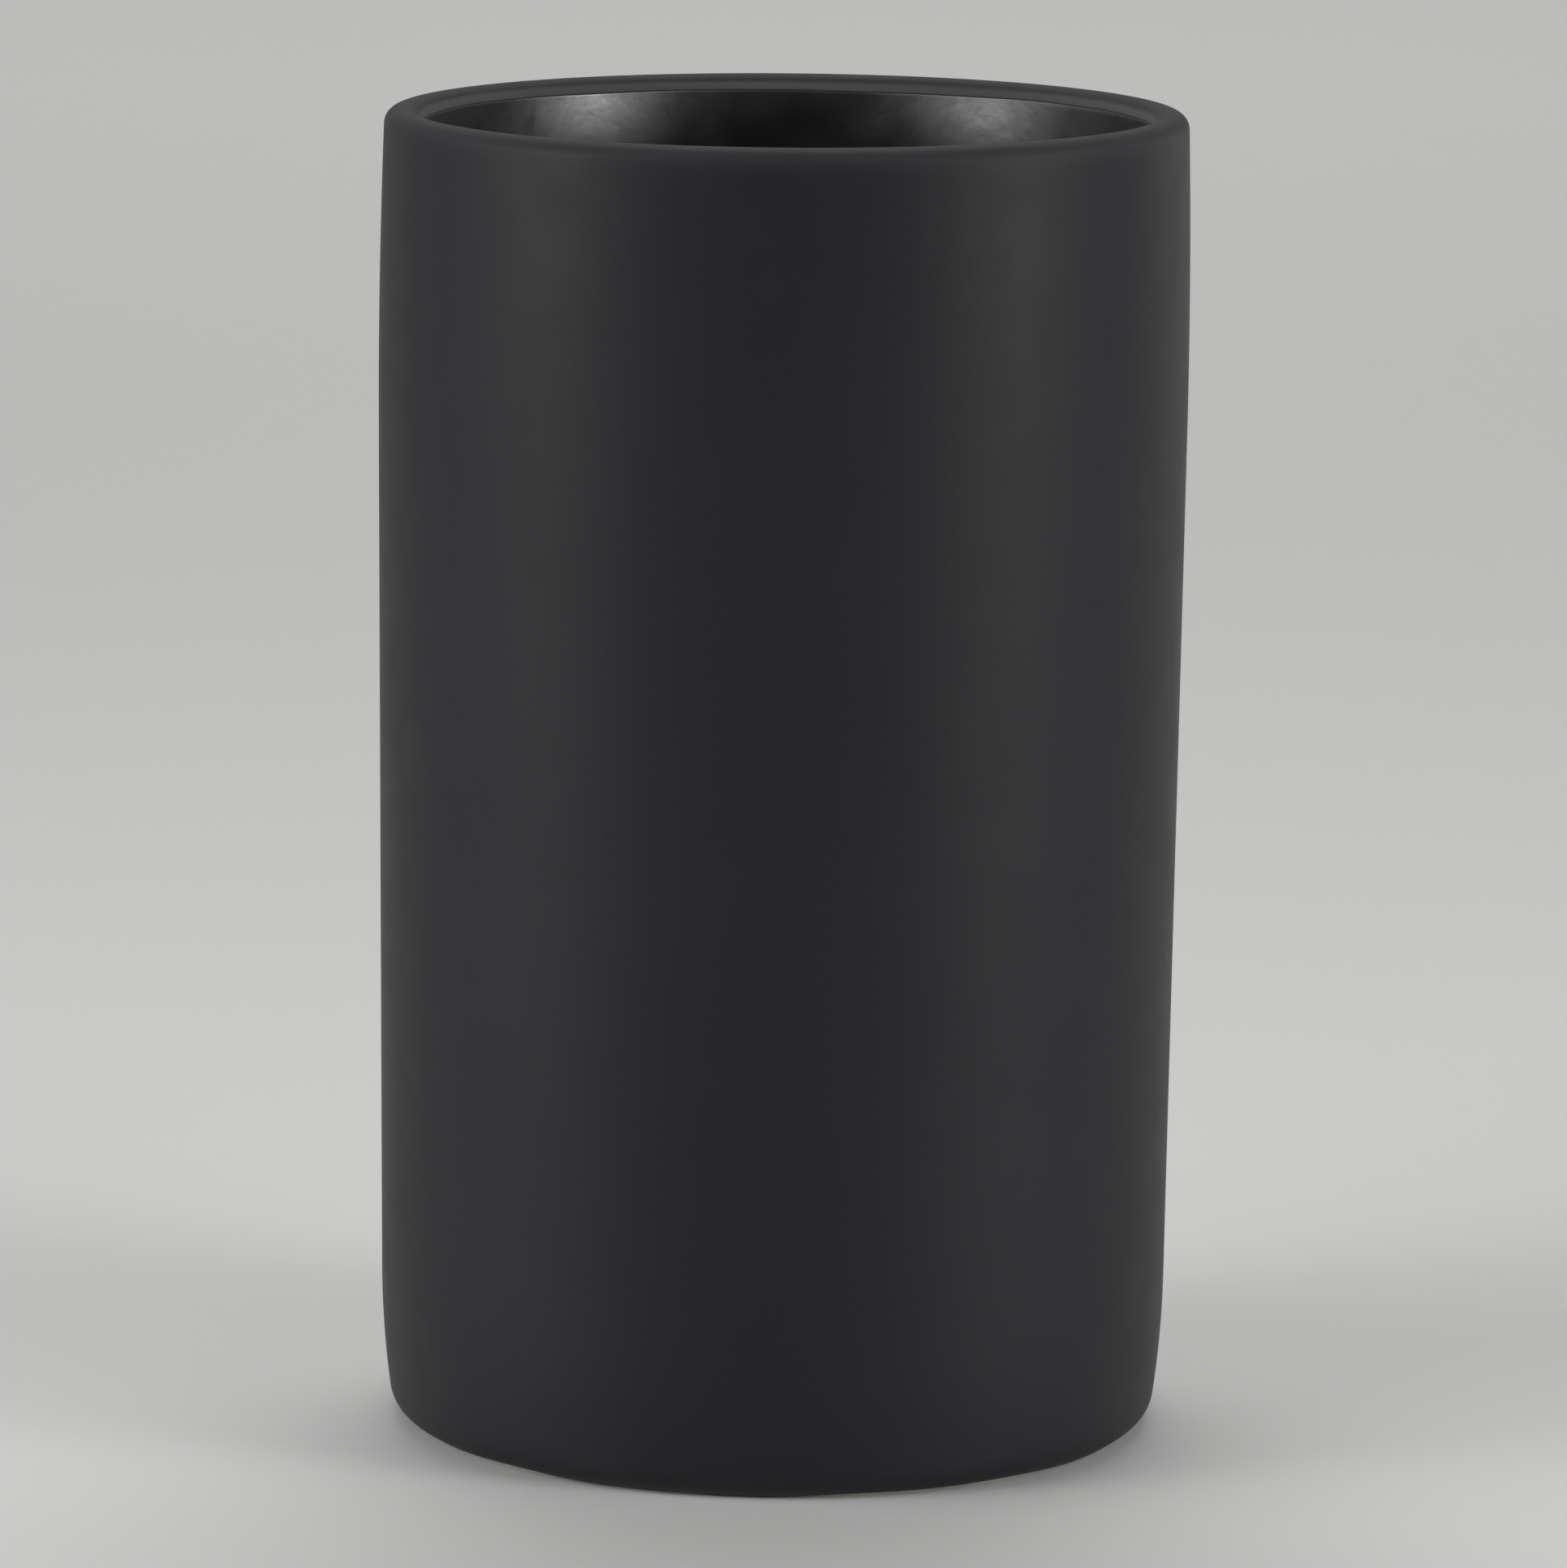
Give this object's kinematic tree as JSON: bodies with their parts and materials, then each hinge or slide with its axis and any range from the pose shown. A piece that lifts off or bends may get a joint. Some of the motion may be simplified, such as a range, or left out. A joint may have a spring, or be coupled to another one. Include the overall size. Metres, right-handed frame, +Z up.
{
  "type": "empty candle jar",
  "caption": "Tall straight-sided ceramic candle jar, matt charcoal outside with a glossier black lining, a rounded lip and a bare foot ring.",
  "frame": {"origin": "centre of the foot ring, on the surface that the jar stands on", "axes": "+Z up along the jar's axis of revolution, through the mouth; +X and +Y are any two directions across it"},
  "size_m": [0.075, 0.075, 0.123],
  "materials": {
    "bare_stoneware": "unglazed, fine-grained, slightly rough",
    "matte_charcoal_glaze": "matt, satin-smooth",
    "gloss_black_glaze": "semi-gloss"
  },
  "bodies": {
    "root": {"stoneware_body": "bare_stoneware", "outer_matte_glaze": "matte_charcoal_glaze", "inner_gloss_glaze": "gloss_black_glaze", "base_recess_glaze": "matte_charcoal_glaze"}
  },
  "joints": []
}
